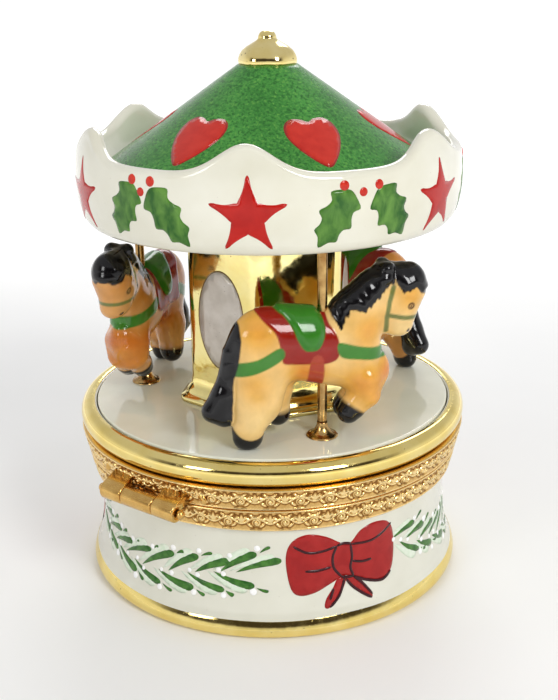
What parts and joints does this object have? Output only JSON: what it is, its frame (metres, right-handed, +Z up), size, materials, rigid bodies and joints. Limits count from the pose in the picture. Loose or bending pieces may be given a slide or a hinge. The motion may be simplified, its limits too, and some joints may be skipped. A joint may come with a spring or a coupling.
{
  "type": "carousel music box",
  "caption": "Hinged porcelain box with a wind-up cylinder movement in its base and a carousel of horses that turns on its lid.",
  "frame": {"origin": "on the table under the centre of the box", "axes": "+Z up through the carousel's axis; the clasp faces -Y and the hinge lies at +Y with its pin along X"},
  "size_m": [0.0654, 0.0704, 0.0893],
  "materials": {
    "porcelain": "clear gloss glaze over ivory white",
    "canopy_porcelain": "speckled green roof and white valance under a gloss glaze",
    "gold_lustre": "polished gold lustre fired on porcelain",
    "horse_porcelain": "hand-painted tan under a gloss glaze",
    "gilt_brass": "stamped and gilded",
    "pole_brass": "drawn tube, lightly aged",
    "movement_brass": "brushed",
    "movement_steel": "machined",
    "blued_steel": "blued screws and spring",
    "aluminium_foil": "thin rolled vane"
  },
  "bodies": {
    "base": {"base_bowl": "porcelain", "lower_bezel": "gilt_brass", "hinge_base_leaf": "gilt_brass", "hinge_pin": "gilt_brass", "clasp_catch": "gilt_brass", "key_bush": "movement_brass", "bedplate": "movement_brass", "bedplate_screws": "blued_steel", "cylinder_post_inner": "movement_steel", "cylinder_post_outer": "movement_steel", "post_screws": "blued_steel", "comb_block": "movement_steel", "comb": "movement_steel", "comb_screws": "blued_steel", "barrel_bridge": "movement_brass", "bridge_pillars": "movement_brass", "bridge_screws": "blued_steel", "governor_frame": "movement_steel", "governor_screw": "blued_steel"},
    "lid": {"lid_shell": "porcelain", "upper_bezel": "gilt_brass", "hinge_lid_leaf": "gilt_brass", "clasp_thumbpiece": "gilt_brass", "spindle_bush": "movement_brass"},
    "carousel": {"deck": "porcelain", "column": "gold_lustre", "canopy": "canopy_porcelain", "finial": "gold_lustre", "centre_rod": "movement_steel", "retaining_ring": "movement_steel", "pole_front": "pole_brass", "pole_right": "pole_brass", "pole_left": "pole_brass", "pole_foot_front": "pole_brass", "pole_foot_right": "pole_brass", "pole_foot_left": "pole_brass", "horse_front": "horse_porcelain", "horse_right": "horse_porcelain", "horse_left": "horse_porcelain"},
    "barrel": {"barrel_drum": "movement_brass", "barrel_cap": "movement_steel", "mainspring": "blued_steel"},
    "key": {"winding_arbor": "movement_steel", "winding_key": "movement_brass"},
    "cylinder": {"pinned_cylinder": "movement_brass", "cylinder_arbor": "movement_steel", "cylinder_pinion": "movement_steel"},
    "governor": {"governor_arbor": "movement_steel", "governor_pinion": "movement_steel", "worm_wheel": "movement_brass"},
    "fly": {"worm_spindle": "movement_steel", "air_brake": "aluminium_foil"}
  },
  "joints": [
    {"name": "lid_hinge", "type": "hinge", "parent": "base", "child": "lid", "pos_m": [0, 0.0337, 0.022], "axis": [-1, 0, 0], "range_deg": [0, 100]},
    {"name": "carousel_turn", "type": "hinge", "parent": "lid", "child": "carousel", "pos_m": [0, 0, 0.0274], "axis": [0, 0, 1], "continuous": true},
    {"name": "barrel_turn", "type": "hinge", "parent": "base", "child": "barrel", "pos_m": [0, 0, 0.0102], "axis": [0, 0, 1], "continuous": true},
    {"name": "key_turn", "type": "hinge", "parent": "base", "child": "key", "pos_m": [0, 0, 0.0052], "axis": [0, 0, 1], "continuous": true},
    {"name": "cylinder_turn", "type": "hinge", "parent": "base", "child": "cylinder", "pos_m": [-0.0165, 0, 0.0164], "axis": [1, 0, 0], "continuous": true},
    {"name": "governor_turn", "type": "hinge", "parent": "base", "child": "governor", "pos_m": [0.0129, 0, 0.0164], "axis": [1, 0, 0], "continuous": true},
    {"name": "fly_turn", "type": "hinge", "parent": "base", "child": "fly", "pos_m": [0.0129, 0.00515, 0.0164], "axis": [0, 0, 1], "continuous": true}
  ],
  "couplings": [
    {"joint": "barrel_turn", "follows": "carousel_turn", "ratio": 1},
    {"joint": "cylinder_turn", "follows": "carousel_turn", "ratio": -4},
    {"joint": "governor_turn", "follows": "carousel_turn", "ratio": 4},
    {"joint": "fly_turn", "follows": "carousel_turn", "ratio": -32}
  ]
}
